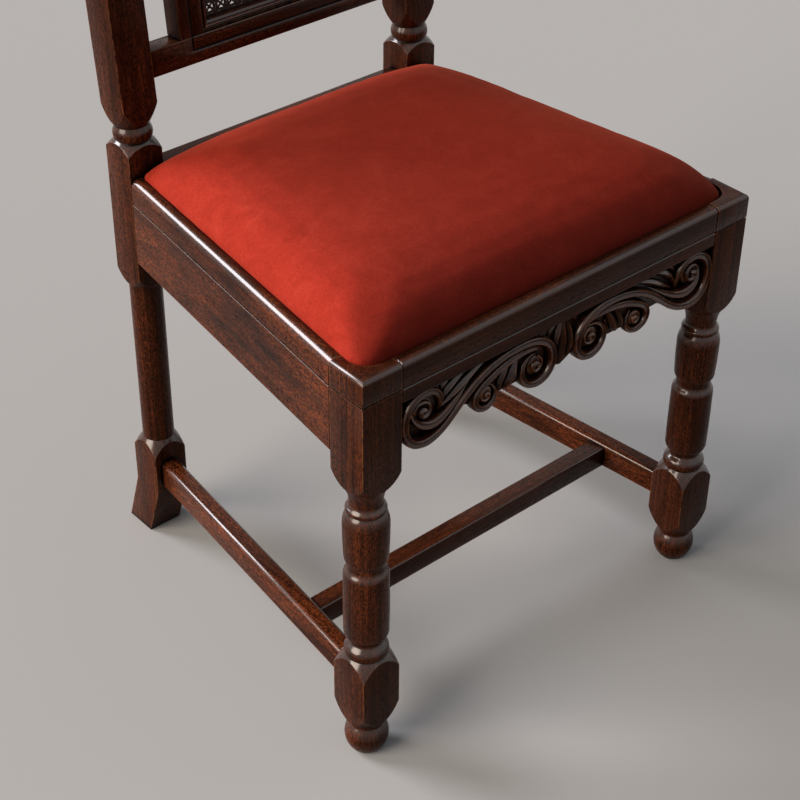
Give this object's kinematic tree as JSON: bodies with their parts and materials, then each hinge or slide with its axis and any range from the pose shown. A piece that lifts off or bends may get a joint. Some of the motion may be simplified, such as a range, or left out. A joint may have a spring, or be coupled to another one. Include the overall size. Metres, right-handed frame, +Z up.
{
  "type": "dining chair",
  "caption": "Dark oak dining chair with turned front legs, a scroll-carved front rail, a caned back and a lift-out velvet seat.",
  "frame": {"origin": "on the floor, under the middle of the chair's bounding box", "axes": "+Z up, +X to the chair's right as seen from the front, the front faces -Y"},
  "size_m": [0.486, 0.4954, 1.0521],
  "materials": {
    "dark_oak": "dark stained oak, waxed",
    "plain_wood": "plain beech, unfinished",
    "cane": "dark stained rattan cane",
    "velvet": "rust red cotton velvet",
    "stuffing": "hair and cotton stuffing",
    "hessian": "woven jute",
    "webbing": "jute webbing",
    "screw_steel": "plain steel",
    "tack_steel": "blued steel"
  },
  "bodies": {
    "chair_frame": {"front_leg_left": "dark_oak", "back_post_left": "dark_oak", "side_seat_rail_left": "dark_oak", "side_stretcher_left": "dark_oak", "back_muntin_left": "dark_oak", "corner_block_front_left": "plain_wood", "corner_block_rear_left": "plain_wood", "front_leg_right": "dark_oak", "back_post_right": "dark_oak", "side_seat_rail_right": "dark_oak", "side_stretcher_right": "dark_oak", "back_muntin_right": "dark_oak", "corner_block_front_right": "plain_wood", "corner_block_rear_right": "plain_wood", "front_seat_rail": "dark_oak", "back_seat_rail": "dark_oak", "cross_stretcher": "dark_oak", "lower_back_rail": "dark_oak", "crest_rail": "dark_oak", "cane_panel": "cane", "panel_moulding_bottom": "dark_oak", "panel_moulding_top": "dark_oak", "panel_moulding_left": "dark_oak", "panel_moulding_right": "dark_oak", "corner_block_screws": "screw_steel"},
    "lift_out_seat": {"seat_frame_front": "plain_wood", "seat_frame_back": "plain_wood", "seat_frame_left": "plain_wood", "seat_frame_right": "plain_wood", "seat_webbing": "webbing", "seat_hessian": "hessian", "seat_stuffing": "stuffing", "seat_cover": "velvet", "cover_tacks": "tack_steel"}
  },
  "joints": [
    {"name": "seat_lift", "type": "slide", "parent": "chair_frame", "child": "lift_out_seat", "axis": [0, 0, 1], "range_m": [0, 0.12]}
  ]
}
